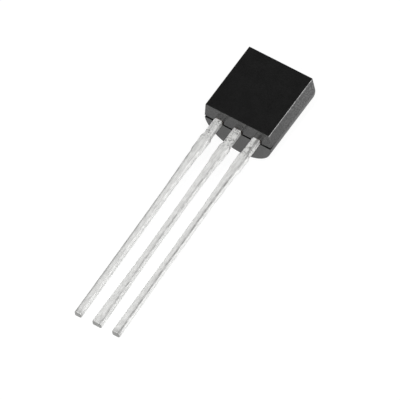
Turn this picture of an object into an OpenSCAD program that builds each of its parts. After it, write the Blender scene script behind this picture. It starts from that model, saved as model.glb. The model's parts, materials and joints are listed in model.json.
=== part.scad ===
// Three-lead temperature sensor in a moulded plastic body.
//
// One stamped lead frame makes the three leads: the middle one ends in a paddle that
// carries the sensor chip, the outer two end in bonding posts, and a gold wire joins
// the chip to each of them. The body is moulded around all of it in one shot, in two
// mould halves that part just in front of the back face of the leads.
//
// Modules are written in the moulding's own axes, in millimetres: +X to the right seen
// on the flat face with the leads down, +Y from the flat face into the body, +Z from
// the leads up the body, and the origin on the flat face's plane at the lower end of
// the parting plane. lie_at_rest() then lays the sensor on its rounded back, flat face
// up, leads towards -Y, with the origin under the middle of its box.

/* [Moulded body] */
// Width of the body at the parting plane
body_w = 4.44; // [4.3:0.01:5.2]
// Height of the body at the parting plane
body_h = 4.7; // [4.3:0.01:5.4]
// Depth of the front half, from the flat face to the parting plane
front_depth = 1.18; // [1.05:0.01:1.5]
// Draft of the front half's two sides, in degrees
side_draft = 4.4; // [1:0.1:8]
// Draft of both ends, away from the parting plane, in degrees
end_draft = 3; // [1:0.1:7]
// Radius of the two long edges of the flat face
flat_edge_r = 0.04; // [0.02:0.01:0.2]

/* [Leads] */
// Distance between neighbouring leads
lead_pitch = 1.27; // [1.2:0.01:1.4]
// Thickness of the sheet that the leads are stamped from
lead_t = 0.41; // [0.3:0.01:0.46]
// Reach of the leads' back face into the back half, past the parting plane
lead_seat = 0.08; // [0:0.01:0.12]
// Length of the leads outside the body
lead_len = 14.7; // [10:0.1:18]
// Width of the neck, where a lead leaves the body
neck_w = 0.47; // [0.4:0.01:0.56]
// Length of the neck
neck_len = 1.17; // [0.6:0.01:1.6]
// Width of the shoulder, where the dam bar was cut away
shoulder_w = 0.63; // [0.58:0.01:0.8]
// Length of the shoulder
shoulder_len = 1; // [0.6:0.01:1.4]
// Length of the step into the shoulder and out of it
step_len = 0.15; // [0.05:0.01:0.3]
// Width at the start of the taper below the shoulder
taper_w = 0.54; // [0.45:0.01:0.6]
// Length of the taper
taper_len = 2.8; // [1:0.1:4]
// Width of a lead below its taper
lead_w = 0.43; // [0.36:0.01:0.5]
// Length of the flare at the tips
flare_len = 5; // [2:0.1:6]
// Width of the outer leads at their tips
outer_tip_w = 0.51; // [0.38:0.01:0.7]
// Width of the middle lead at its tip
middle_tip_w = 0.62; // [0.38:0.01:0.7]
// Angle of the bend below the shoulder, towards the round back, in degrees
bend_deg = 3.46; // [0.5:0.01:6]
// Radius of that bend
bend_r = 16; // [6:1:40]

/* [Lead frame in the body] */
// Height of the locking ears above the lower end of the body
ear_z = 0.45; // [0.3:0.01:0.6]
// Width across the locking ears of a lead
ear_w = 0.7; // [0.6:0.01:0.9]
// Height of a locking ear
ear_h = 0.25; // [0.15:0.01:0.35]
// Height of the paddle's lower edge above the lower end of the body
paddle_z = 1.35; // [1.1:0.01:1.5]
// Width of the paddle
paddle_w = 1.7; // [1.5:0.01:1.9]
// Height of the paddle
paddle_h = 2; // [1.9:0.01:2.4]
// Chamfer of the paddle's upper corners
paddle_chamfer = 0.25; // [0.1:0.01:0.4]
// Gap between the paddle and each bonding post
frame_gap = 0.18; // [0.15:0.01:0.3]
// Height of the posts' lower edge above the lower end of the body
post_z = 1.1; // [1:0.01:1.3]
// Height of a bonding post
post_h = 1.5; // [1.2:0.01:1.9]
// Reach of a bonding post past the outer side of its lead
post_reach = 0.18; // [0.1:0.01:0.25]

/* [Sensor chip] */
// Width of the chip
die_w = 1.2; // [0.9:0.01:1.4]
// Height of the chip, along the body
die_h = 1; // [0.8:0.01:1.1]
// Thickness of the chip
die_t = 0.25; // [0.15:0.01:0.3]
// Distance from the chip to the paddle's upper edge
die_margin = 0.35; // [0.25:0.01:0.45]
// Thickness of the glue under the chip
glue_t = 0.03; // [0.02:0.005:0.05]
// Reach of the glue past each edge of the chip
glue_rim = 0.05; // [0.02:0.01:0.08]

/* [Bond wires] */
// Diameter of the wire
wire_d = 0.03; // [0.025:0.005:0.04]
// Diameter of the ball on the chip
ball_d = 0.09; // [0.07:0.01:0.12]
// Height of the ball, and of the stitch on the lead
ball_h = 0.02; // [0.01:0.005:0.03]
// Straight rise of the wire above the ball
wire_rise = 0.09; // [0.05:0.01:0.11]
// Straight drop of the wire onto its stitch
foot_rise = 0.02; // [0.01:0.005:0.04]
// Radius of the loop's two bends
loop_r = 0.07; // [0.05:0.01:0.08]
// Distance of a bond from the chip's edge
chip_bond_inset = 0.13; // [0.09:0.01:0.2]
// Height of the two side bonds above the chip's lower edge
side_bond_z = 0.4; // [0.2:0.01:0.6]
// Distance of a stitch from the upper end of its post
post_bond_inset = 0.35; // [0.2:0.01:0.5]
// Distance of the stitch on the paddle from the paddle's lower edge
paddle_bond_inset = 0.18; // [0.12:0.01:0.24]

/* [Hidden] */
$fn = 64;

BODY_COLOR = [0.2, 0.2, 0.2];
TIN_COLOR = [0.83, 0.83, 0.82];
GLUE_COLOR = [0.62, 0.62, 0.6];
CHIP_COLOR = [0.32, 0.34, 0.4];
GOLD_COLOR = [0.9, 0.7, 0.3];

LEFT = -1;
MIDDLE = 0;
RIGHT = 1;

// The moulding
back_r = body_w / 2;
body_depth = front_depth + back_r;
flat_w = body_w - 2 * front_depth * tan(side_draft);
end_rise = back_r * tan(end_draft);
past = 1;
lap = 0.1;

// The lead frame, flat inside the body
frame_back = front_depth + lead_seat;
frame_front = frame_back - lead_t;
frame_mid = frame_back - lead_t / 2;
post_inner = paddle_w / 2 + frame_gap;
post_outer = lead_pitch + neck_w / 2 + post_reach;
post_top = post_z + post_h;
paddle_top = paddle_z + paddle_h;

// The chip and its bonds
die_z = paddle_top - die_margin - die_h;
die_back = frame_front - glue_t;
die_face = die_back - die_t;
chip_drop = glue_t + die_t;

// Stations down a lead, from the body to the tip
shoulder_s = neck_len + step_len;
shoulder_end_s = shoulder_s + shoulder_len;
taper_s = shoulder_end_s + step_len;
taper_end_s = taper_s + taper_len;
bend_s = taper_s;
bend_len = bend_r * bend_deg * PI / 180;
bend_end_s = bend_s + bend_len;
flare_s = max(lead_len - flare_len, max(taper_end_s, bend_end_s) + step_len);
bend_steps = 6;

// Steps in each bend of a wire's loop, and sides of the wire
loop_steps = 5;
wire_sides = 12;

// Where the back of a lead's tip is: the sensor rests on it and on the body's lower back edge
tip = lead_centre(lead_len);
tip_back = tip + lead_t / 2 * lead_normal(lead_len);
tip_front = tip - lead_t / 2 * lead_normal(lead_len);
rest_tilt = atan((body_depth - tip_back[0]) / (end_rise - tip_back[1]));
floor_z = row_z([body_depth, end_rise]);
far_y = max(row_y([body_depth, body_h - end_rise]), row_y([front_depth, body_h]));
near_y = row_y(tip_front);

// A point [depth, height] of the moulding, in the row's Y and Z once the sensor is laid down
function row_y(p) = p[1] * cos(rest_tilt) + p[0] * sin(rest_tilt);
function row_z(p) = p[1] * sin(rest_tilt) - p[0] * cos(rest_tilt);

// The bend of a lead at a distance s from the body, in degrees
function bend_at(s) = bend_deg * min(max((s - bend_s) / bend_len, 0), 1);

// The middle of a lead at s, as [depth, height]: straight, then an arc, then straight
function lead_centre(s) =
    let (a = bend_at(s), straight = min(s, bend_s), rest = max(s - bend_end_s, 0))
    [
        frame_mid + bend_r * (1 - cos(a)) + rest * sin(a),
        -straight - bend_r * sin(a) - rest * cos(a)
    ];

// The direction across a lead's thickness at s, towards the round back
function lead_normal(s) = [cos(bend_at(s)), sin(bend_at(s))];

// One side of a lead's outline, from the top of its stem to past the tip, as [x, z] with x positive
function lead_edge(tip_w, stem_top) = [
    for (p = [
        [-stem_top, neck_w], [neck_len, neck_w],
        [shoulder_s, shoulder_w], [shoulder_end_s, shoulder_w],
        [taper_s, taper_w], [taper_end_s, lead_w],
        [flare_s, lead_w], [lead_len, tip_w], [lead_len + past, tip_w]
    ])
    [p[1] / 2, lead_centre(p[0])[1]]
];

// One face of the bent sheet, from past the paddle to the tip, as [depth, height]
function sheet_face(side) = concat(
    [[frame_mid + side * lead_t / 2, paddle_top + past]],
    [for (s = concat([for (i = [0 : bend_steps]) bend_s + bend_len * i / bend_steps], [lead_len]))
        lead_centre(s) + side * lead_t / 2 * lead_normal(s)]
);

// A list of points in the other order
function reversed(list) = [for (i = [len(list) - 1 : -1 : 0]) list[i]];

// One bend of a wire's loop, as stations [along, up, slope in degrees, radius]
function loop_bend(centre, start, end) = [
    for (i = [0 : loop_steps])
        let (a = start + (end - start) * i / loop_steps)
        [centre[0] - loop_r * sin(a), centre[1] + loop_r * cos(a), a, wire_d / 2]
];

// The stations of a wire that runs a distance over the chip and down to the frame:
// straight up, over one bend, down a straight slope and over the other bend to its foot
function loop_path(run) =
    let (
        top = ball_h + wire_rise,
        foot = ball_h + foot_rise - chip_drop,
        slope = -atan2(top - foot, run - 2 * loop_r),
        stitch = ball_h - chip_drop
    )
    concat(
        [[0, 0, 90, ball_d / 2], [0, ball_h, 90, ball_d / 2], [0, ball_h, 90, wire_d / 2]],
        loop_bend([loop_r, top], 90, slope),
        loop_bend([run - loop_r, foot], slope, -90),
        [[run, stitch, -90, wire_d / 2], [run, stitch, -90, ball_d / 2], [run, -chip_drop, -90, ball_d / 2]]
    );

// Turns a shape from the moulding's axes to the row's, and sets it on the floor
module lie_at_rest() {
    translate([0, -(far_y + near_y) / 2, -floor_z])
        rotate([rest_tilt - 90, 0, 0])
            children();
}

// The moulding seen from above: the front half widens from the flat, the back is half a disc
module plan_outline() {
    edge_x = flat_w / 2 + flat_edge_r * (tan(side_draft) - 1 / cos(side_draft));
    side_x = edge_x + flat_edge_r * cos(side_draft);
    side_y = flat_edge_r * (1 - sin(side_draft));
    for (side = [-1, 1])
        translate([side * edge_x, flat_edge_r])
            circle(r = flat_edge_r);
    polygon([
        [-edge_x, 0], [edge_x, 0], [side_x, side_y], [back_r, front_depth],
        [-back_r, front_depth], [-side_x, side_y]
    ]);
    intersection() {
        translate([0, front_depth])
            circle(r = back_r, $fn = 128);
        translate([-body_w, front_depth - flat_edge_r])
            square([2 * body_w, body_depth]);
    }
}

// The moulding seen from the side: both ends fall away from the parting plane
module side_outline() {
    fall = (front_depth + past) * tan(end_draft);
    back_fall = (back_r + past) * tan(end_draft);
    polygon([
        [-past, fall], [front_depth, 0], [body_depth + past, back_fall],
        [body_depth + past, body_h - back_fall], [front_depth, body_h], [-past, body_h - fall]
    ]);
}

// The whole moulded form, before anything is left out of it
module body_form() {
    intersection() {
        translate([0, 0, -past])
            linear_extrude(body_h + 2 * past)
                plan_outline();
        translate([-body_w, 0, 0])
            rotate([90, 0, 90])
                linear_extrude(2 * body_w)
                    side_outline();
    }
}

// A lead as it is stamped and bent: 2D outlines that run into each other, drawn in the
// moulding's X and Z, cut from a sheet that is flat in the body and bent below the shoulder
module stamping() {
    intersection() {
        translate([-body_w, 0, 0])
            rotate([90, 0, 90])
                linear_extrude(2 * body_w)
                    polygon(concat(sheet_face(1), reversed(sheet_face(-1))));
        for (i = [0 : $children - 1])
            translate([0, body_depth, 0])
                rotate([90, 0, 0])
                    linear_extrude(body_depth)
                        children(i);
    }
}

// The bar of a lead, from its tip up to a height in the body
module bar_outline(side, tip_w, top) {
    edge = lead_edge(tip_w, top);
    translate([side * lead_pitch, 0])
        polygon(concat(edge, reversed([for (p = edge) [-p[0], p[1]]])));
}

// The two ears that lock a lead in the body
module ear_outline(side) {
    translate([side * lead_pitch - ear_w / 2, ear_z])
        square([ear_w, ear_h]);
}

// An outer lead, which ends in a bonding post
module post_lead(side) {
    stamping() {
        bar_outline(side, outer_tip_w, post_z + lap);
        ear_outline(side);
        translate([side > 0 ? post_inner : -post_outer, post_z])
            square([post_outer - post_inner, post_h]);
    }
}

// The middle lead, which ends in the paddle
module paddle_lead() {
    chamfer_z = paddle_top - paddle_chamfer;
    half = paddle_w / 2;
    stamping() {
        bar_outline(MIDDLE, middle_tip_w, paddle_z + lap);
        ear_outline(MIDDLE);
        polygon([
            [-half, paddle_z], [half, paddle_z], [half, chamfer_z],
            [half - paddle_chamfer, paddle_top], [paddle_chamfer - half, paddle_top],
            [-half, chamfer_z]
        ]);
    }
}

// The glue under the chip and the chip itself
module glue_form() {
    translate([-die_w / 2 - glue_rim, die_back, die_z - glue_rim])
        cube([die_w + 2 * glue_rim, glue_t, die_h + 2 * glue_rim]);
}

module die_form() {
    translate([-die_w / 2, die_face, die_z])
        cube([die_w, die_t, die_h]);
}

// A wire from the chip's face at `from` to the frame's front face at `to`, both as [x, z]:
// one round tube carried along its loop, with a disc at each end
module wire_form(from, to) {
    run = norm(to - from);
    heading = atan2(to[1] - from[1], to[0] - from[0]);
    path = loop_path(run);
    points = [
        for (p = path, i = [0 : wire_sides - 1])
            let (
                a = 360 * i / wire_sides,
                along = p[0] - p[3] * cos(a) * sin(p[2]),
                up = p[1] + p[3] * cos(a) * cos(p[2]),
                across = p[3] * sin(a)
            )
            [
                from[0] + along * cos(heading) + across * sin(heading),
                die_face - up,
                from[1] + along * sin(heading) - across * cos(heading)
            ]
    ];
    last = (len(path) - 1) * wire_sides;
    walls = [
        for (k = [0 : len(path) - 2], i = [0 : wire_sides - 1])
            let (a = k * wire_sides + i, b = k * wire_sides + (i + 1) % wire_sides)
            each [[a, b, b + wire_sides], [a, b + wire_sides, a + wire_sides]]
    ];
    ends = [
        [for (i = [wire_sides - 1 : -1 : 0]) i],
        [for (i = [0 : wire_sides - 1]) last + i]
    ];
    polyhedron(points, concat(walls, ends));
}

// The wire of each lead, from its bond on the chip to its stitch
module wire_to(side) {
    post_x = side * (post_inner + post_outer) / 2;
    if (side == MIDDLE)
        wire_form([0, die_z + chip_bond_inset], [0, paddle_z + paddle_bond_inset]);
    else
        wire_form(
            [side * (die_w / 2 - chip_bond_inset), die_z + side_bond_z],
            [post_x, post_top - post_bond_inset]
        );
}

module mould_body() {
    color(BODY_COLOR)
        lie_at_rest()
            difference() {
                body_form();
                post_lead(LEFT);
                paddle_lead();
                post_lead(RIGHT);
                glue_form();
                die_form();
                for (side = [LEFT, MIDDLE, RIGHT])
                    wire_to(side);
            }
}

module lead_left() {
    color(TIN_COLOR)
        lie_at_rest()
            post_lead(LEFT);
}

module lead_middle() {
    color(TIN_COLOR)
        lie_at_rest()
            paddle_lead();
}

module lead_right() {
    color(TIN_COLOR)
        lie_at_rest()
            post_lead(RIGHT);
}

module die_attach() {
    color(GLUE_COLOR)
        lie_at_rest()
            glue_form();
}

module sensor_die() {
    color(CHIP_COLOR)
        lie_at_rest()
            die_form();
}

module bond_wire_left() {
    color(GOLD_COLOR)
        lie_at_rest()
            wire_to(LEFT);
}

module bond_wire_middle() {
    color(GOLD_COLOR)
        lie_at_rest()
            wire_to(MIDDLE);
}

module bond_wire_right() {
    color(GOLD_COLOR)
        lie_at_rest()
            wire_to(RIGHT);
}

mould_body();
lead_left();
lead_middle();
lead_right();
die_attach();
sensor_die();
bond_wire_left();
bond_wire_middle();
bond_wire_right();
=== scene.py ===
"""Dresses the three-lead temperature sensor: the moulded body, the tinned leads and what they hold inside.

Shapes are worked out in the moulding's own axes, in millimetres: x to the right seen on the
flat face with the leads down, y from the flat face into the body, and z from the leads up the
body. RestFrame then lays them down in the part's frame, in metres.
"""

import json
import logging
import math
from dataclasses import dataclass, field
from enum import Enum

import bmesh
import bpy
import numpy as np
from mathutils import Matrix, Vector


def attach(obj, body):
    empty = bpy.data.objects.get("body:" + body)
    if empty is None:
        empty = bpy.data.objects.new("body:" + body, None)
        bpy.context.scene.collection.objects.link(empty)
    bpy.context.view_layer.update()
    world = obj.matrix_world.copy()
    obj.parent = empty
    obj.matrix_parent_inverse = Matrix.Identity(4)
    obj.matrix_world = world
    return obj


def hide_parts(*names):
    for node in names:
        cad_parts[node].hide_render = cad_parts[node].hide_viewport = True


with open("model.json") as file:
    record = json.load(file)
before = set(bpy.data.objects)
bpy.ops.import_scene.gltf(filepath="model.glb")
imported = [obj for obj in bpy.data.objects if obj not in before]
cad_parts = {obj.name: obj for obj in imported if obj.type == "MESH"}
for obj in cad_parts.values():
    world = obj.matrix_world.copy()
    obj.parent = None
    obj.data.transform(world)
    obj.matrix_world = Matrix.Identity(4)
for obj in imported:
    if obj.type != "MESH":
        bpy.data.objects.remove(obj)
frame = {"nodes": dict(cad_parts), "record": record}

LOG = logging.getLogger("sensor")
MM = 0.001
BODY = "root"
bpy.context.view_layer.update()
NOISE_SPAN = (0.3, 0.7)  # where nearly all of a noise's values lie

Value = bpy.types.NodeSocket | float | tuple[float, ...]
Color = tuple[float, float, float, float]
Span = tuple[float, float]
Profile = tuple[tuple[float, ...], tuple[float, ...]]  # places, and the values there


class LeadSide(Enum):
    """Which of the three leads a piece belongs to, as a multiple of the lead pitch."""

    LEFT = -1
    MIDDLE = 0
    RIGHT = 1


# ---------------------------------------------------------------- places and meshes


@dataclass(frozen=True)
class RestFrame:
    """The moulding's axes as they lie in the part's frame, found from the sensing face's mount."""

    origin: np.ndarray
    right: np.ndarray
    depth: np.ndarray
    up: np.ndarray

    @classmethod
    def from_record(cls, record: dict, body_h: float) -> "RestFrame":
        """Finds the axes from the mount on the flat face.

        Args:
            record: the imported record, whose sensing_face mount is the middle of the flat.
            body_h: the body's height at the parting plane, in millimetres.

        Returns:
            The rest frame, whose origin is on the flat's plane at the body's lower end.
        """
        face = next(m for m in record["mounts"] if m["name"] == "sensing_face")
        outward = np.array(face["axis"], float)
        outward /= np.linalg.norm(outward)
        right = np.array([1.0, 0.0, 0.0])
        up = np.cross(outward, right)
        origin = np.array(face["pos_m"], float) - up * body_h / 2 * MM
        return cls(origin, right, -outward, up)

    def place(self, points: np.ndarray) -> np.ndarray:
        """Turns points of shape (n, 3) from the moulding's millimetres into the part's metres."""
        axes = np.stack([self.right, self.depth, self.up])
        return self.origin + points @ axes * MM


def grid_faces(rows: int, columns: int, ring: bool, start: int = 0) -> np.ndarray:
    """Lists the quads of a grid of vertices.

    Args:
        rows: vertices along the first parameter.
        columns: vertices along the second parameter.
        ring: whether the last column joins the first.
        start: the index of the grid's first vertex.

    Returns:
        An array of four vertex indices a quad, turning from columns to rows.
    """
    across = columns if ring else columns - 1
    i, j = np.meshgrid(np.arange(rows - 1), np.arange(across), indexing="ij")
    k = (j + 1) % columns
    here, below = i * columns, (i + 1) * columns
    quads = np.stack([here + j, here + k, below + k, below + j], axis=-1)
    return quads.reshape(-1, 4) + start


@dataclass
class Skin:
    """Collects patches of one closed surface, and the values that its finish reads."""

    masks: tuple[str, ...]
    points: list[np.ndarray] = field(default_factory=list)
    quads: list[np.ndarray] = field(default_factory=list)
    values: list[np.ndarray] = field(default_factory=list)

    def add(self, patch: np.ndarray, ring: bool = False, turned: bool = False,
            **masks: np.ndarray | float) -> None:
        """Adds a patch.

        Args:
            patch: vertices of shape (rows, columns, 3), in the moulding's millimetres.
            ring: whether the last column joins the first.
            turned: whether the faces look the other way.
            **masks: the values of each named mask, which spread to the shape (rows, columns). A
                mask that isn't named is 0.
        """
        shape = patch.shape[:2]
        start = sum(len(p) for p in self.points)
        quads = grid_faces(*shape, ring, start)
        self.points.append(patch.reshape(-1, 3))
        self.quads.append(quads[:, ::-1] if turned else quads)
        named = [np.broadcast_to(masks.get(name, 0.0), shape).ravel() for name in self.masks]
        self.values.append(np.stack(named, axis=-1))

    def to_object(self, name: str, place: RestFrame, weld_mm: float = 0.0002) -> bpy.types.Object:
        """Makes one closed, smooth-shaded object of the patches.

        Args:
            name: the object's name.
            place: where the moulding's axes lie.
            weld_mm: how close two vertices are to be made one, at seams and poles.

        Returns:
            The object, at the origin, with its place in its mesh.
        """
        points = place.place(np.concatenate(self.points))
        quads = np.concatenate(self.quads)
        mesh = bpy.data.meshes.new(name)
        mesh.vertices.add(len(points))
        mesh.vertices.foreach_set("co", points.astype(np.float32).ravel())
        mesh.loops.add(quads.size)
        mesh.loops.foreach_set("vertex_index", quads.astype(np.int32).ravel())
        mesh.polygons.add(len(quads))
        mesh.polygons.foreach_set("loop_start", np.arange(0, quads.size, 4, dtype=np.int32))
        mesh.update(calc_edges=True)
        values = np.concatenate(self.values)
        for k, mask in enumerate(self.masks):
            layer = mesh.attributes.new(mask, "FLOAT", "POINT")
            layer.data.foreach_set("value", values[:, k].astype(np.float32))
        shape = bmesh.new()
        shape.from_mesh(mesh)
        bmesh.ops.remove_doubles(shape, verts=shape.verts, dist=weld_mm * MM)
        bmesh.ops.dissolve_degenerate(shape, edges=shape.edges, dist=weld_mm * MM)
        shape.to_mesh(mesh)
        shape.free()
        mesh.shade_smooth()
        mesh.validate()
        piece = bpy.data.objects.new(name, mesh)
        bpy.context.scene.collection.objects.link(piece)
        return piece


def smoothed(values: np.ndarray, count: int) -> np.ndarray:
    """Rounds the corners of evenly spaced values.

    Each value becomes the mean under a raised cosine window, 1 plus the cosine of the distance.

    Args:
        values: the values.
        count: how many neighbours on each side the window takes in.

    Returns:
        As many values, with the ends held.
    """
    window = 1 + np.cos(np.pi * np.arange(-count, count + 1) / (count + 1))
    padded = np.pad(values, count, mode="edge")
    return np.convolve(padded, window / window.sum(), mode="valid")


def bell(distance: np.ndarray, width: float) -> np.ndarray:
    """A smooth bump: 1 where the distance is 0, and e to the power -1 where it is the width."""
    return np.exp(-((distance / width) ** 2))


def rising(values: np.ndarray, start: float, length: float) -> np.ndarray:
    """A straight slope: 0 up to the start, and 1 from a length past it."""
    return np.clip((values - start) / length, 0, 1)


def dress(piece: bpy.types.Object, material: bpy.types.Material, slot: str, *nodes: str) -> None:
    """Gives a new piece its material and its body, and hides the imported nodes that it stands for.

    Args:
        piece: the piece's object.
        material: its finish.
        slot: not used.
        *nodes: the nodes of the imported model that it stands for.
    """
    piece.data.materials.append(material)
    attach(piece, BODY)
    if nodes:
        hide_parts(*nodes)


# ---------------------------------------------------------------- shader nodes


@dataclass
class NodeTree:
    """A shader node tree that is filled in one line a node."""

    tree: bpy.types.NodeTree

    def feed(self, value: Value, socket: bpy.types.NodeSocket) -> None:
        """Gives an input its value.

        Args:
            value: an output, which is linked, or a plain value, which is set.
            socket: the input.
        """
        if isinstance(value, bpy.types.NodeSocket):
            self.tree.links.new(value, socket)
        else:
            socket.default_value = value

    def add(self, kind: str, settings: dict | None = None, **inputs: Value) -> bpy.types.Node:
        """Adds a node.

        Args:
            kind: the node's type, without the ShaderNode at its front.
            settings: the node's own properties.
            **inputs: its inputs by name, with underscores for spaces, or by number, as in0.

        Returns:
            The new node.
        """
        node = self.tree.nodes.new("ShaderNode" + kind)
        for key, value in (settings or {}).items():
            setattr(node, key, value)
        for key, value in inputs.items():
            numbered = key.startswith("in") and key[2:].isdigit()
            self.feed(value, node.inputs[int(key[2:]) if numbered else key.replace("_", " ")])
        return node

    def math(self, operation: str, a: Value, b: Value, clamp: bool = False) -> bpy.types.NodeSocket:
        """Adds a Math node and returns its result."""
        return self.add("Math", {"operation": operation, "use_clamp": clamp}, in0=a, in1=b).outputs[0]

    def times(self, a: Value, b: Value) -> bpy.types.NodeSocket:
        """Multiplies two numbers."""
        return self.math("MULTIPLY", a, b)

    def plus(self, a: Value, b: Value, clamp: bool = False) -> bpy.types.NodeSocket:
        """Adds two numbers."""
        return self.math("ADD", a, b, clamp)

    def scaled(self, color: Value, factor: Value) -> bpy.types.NodeSocket:
        """Multiplies a colour by a number."""
        return self.add("VectorMath", {"operation": "SCALE"}, in0=color, Scale=factor).outputs[0]

    def mix(self, factor: Value, a: Value, b: Value) -> bpy.types.NodeSocket:
        """Mixes two colours: the first where the factor is 0, and the second where it is 1."""
        return self.add("Mix", {"data_type": "RGBA"}, in0=factor, in6=a, in7=b).outputs[2]

    def ramp(self, value: Value, span: Span, to: Span = (0.0, 1.0)) -> bpy.types.NodeSocket:
        """Maps a value smoothly from one range to another, and holds it at the range's ends.

        Args:
            value: the value.
            span: the range that it comes from.
            to: the range that it goes to, whose first number may be the greater.

        Returns:
            The result.
        """
        node = self.add("MapRange", {"interpolation_type": "SMOOTHSTEP"}, Value=value)
        for key, number in zip(("From Min", "From Max", "To Min", "To Max"), (*span, *to)):
            node.inputs[key].default_value = number
        return node.outputs[0]

    def blend(self, mask: Value, off: float, on: float) -> bpy.types.NodeSocket:
        """Goes smoothly from one number where a mask is 0 to another where it is 1."""
        return self.ramp(mask, (0.0, 1.0), (off, on))

    def mask(self, name: str) -> bpy.types.NodeSocket:
        """Reads one of the mesh's own values."""
        return self.add("Attribute", {"attribute_name": name, "attribute_type": "GEOMETRY"}).outputs["Fac"]

    def along_y(self) -> bpy.types.NodeSocket:
        """Reads the place along the part's Y, in metres."""
        return self.add("SeparateXYZ", Vector=self.add("TexCoord").outputs["Object"]).outputs["Y"]

    def grain(self, group: bpy.types.NodeTree, grain_mm: float,
              cloud_mm: float) -> tuple[bpy.types.NodeSocket, bpy.types.NodeSocket]:
        """Places the grain group and returns its fine noise and its coarse one."""
        node = self.add("Group", {"node_tree": group}, Grain_Size_mm=grain_mm, Cloud_Size_mm=cloud_mm)
        return node.outputs["Grain"], node.outputs["Cloud"]

    def surface(self, shader: bpy.types.Node, color: Value, rough: Value, relief: Value,
                height_um: float) -> None:
        """Feeds a shader.

        Args:
            shader: the Principled BSDF.
            color: its base colour.
            rough: its roughness.
            relief: the surface's fine height, from 0 to 1.
            height_um: what 1 of that height is, in thousandths of a millimetre.
        """
        bump = self.add("Bump", Height=relief, Strength=1.0, Distance=height_um * MM * MM)
        self.feed(color, shader.inputs["Base Color"])
        self.feed(rough, shader.inputs["Roughness"])
        self.feed(bump.outputs[0], shader.inputs["Normal"])


def new_group(name: str, inputs: dict[str, float],
              outputs: tuple[str, ...]) -> tuple[bpy.types.NodeTree, NodeTree]:
    """Starts a shader node group.

    Args:
        name: the group's name.
        inputs: the default of each number that goes in.
        outputs: the name of each number that comes out.

    Returns:
        The group and its tree. Its first node is the group's input and its second the output.
    """
    group = bpy.data.node_groups.new(name, "ShaderNodeTree")
    for key, value in inputs.items():
        socket = group.interface.new_socket(key, in_out="INPUT", socket_type="NodeSocketFloat")
        socket.default_value = value
    for key in outputs:
        group.interface.new_socket(key, in_out="OUTPUT", socket_type="NodeSocketFloat")
    group.nodes.new("NodeGroupInput")
    group.nodes.new("NodeGroupOutput")
    return group, NodeTree(group)


def grain_group() -> bpy.types.NodeTree:
    """Fine grain over a cloudy ground: two noises in Object coordinates, each about 0.5.

    Returns:
        A group that puts out Grain, the fine noise, and Cloud, the coarse one.
    """
    sizes = {"Grain Size mm": 0.05, "Cloud Size mm": 0.6, "Roughness": 0.6}
    group, tree = new_group("grain", sizes, ("Grain", "Cloud"))
    given, result = group.nodes[0], group.nodes[1]
    place = tree.add("TexCoord").outputs["Object"]
    for size, output in (("Grain Size mm", "Grain"), ("Cloud Size mm", "Cloud")):
        scale = tree.math("DIVIDE", 1 / MM, given.outputs[size])
        noise = tree.add("TexNoise", Vector=place, Scale=scale, Detail=3.0)
        tree.feed(given.outputs["Roughness"], noise.inputs["Roughness"])
        group.links.new(noise.outputs["Fac"], result.inputs[output])
    return group


def streak_group() -> bpy.types.NodeTree:
    """Drawn-out marks that run down the body's axis: a noise that is stretched along Y.

    Returns:
        A group that puts out Streak, about 0.5.
    """
    group, tree = new_group("streak", {"Width mm": 0.05, "Length mm": 1.0}, ("Streak",))
    given, result = group.nodes[0], group.nodes[1]
    parts = tree.add("SeparateXYZ", Vector=tree.add("TexCoord").outputs["Object"]).outputs
    across = tree.math("DIVIDE", 1 / MM, given.outputs["Width mm"])
    down = tree.math("DIVIDE", 1 / MM, given.outputs["Length mm"])
    axes = {axis: tree.times(parts[axis], down if axis == "Y" else across) for axis in "XYZ"}
    scaled = tree.add("CombineXYZ", **axes).outputs[0]
    noise = tree.add("TexNoise", Vector=scaled, Scale=1.0, Detail=2.0, Roughness=0.5)
    group.links.new(noise.outputs["Fac"], result.inputs["Streak"])
    return group


@dataclass(frozen=True)
class Groups:
    """The node groups that the finishes share."""

    grain: bpy.types.NodeTree
    streak: bpy.types.NodeTree

    @classmethod
    def build(cls) -> "Groups":
        """Makes each group once."""
        return cls(grain_group(), streak_group())


def start_material(name: str) -> tuple[bpy.types.Material, NodeTree, bpy.types.Node]:
    """Starts a material.

    Args:
        name: the material's name.

    Returns:
        The material, its tree and its Principled BSDF.
    """
    material = bpy.data.materials.new(name)
    material.use_nodes = True
    return material, NodeTree(material.node_tree), material.node_tree.nodes["Principled BSDF"]


def grey(value: float) -> Color:
    """A neutral colour."""
    return (value, value, value, 1.0)


def metres(span: Span) -> Span:
    """A range of millimetres in metres."""
    return (span[0] * MM, span[1] * MM)


# ---------------------------------------------------------------- finishes


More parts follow.
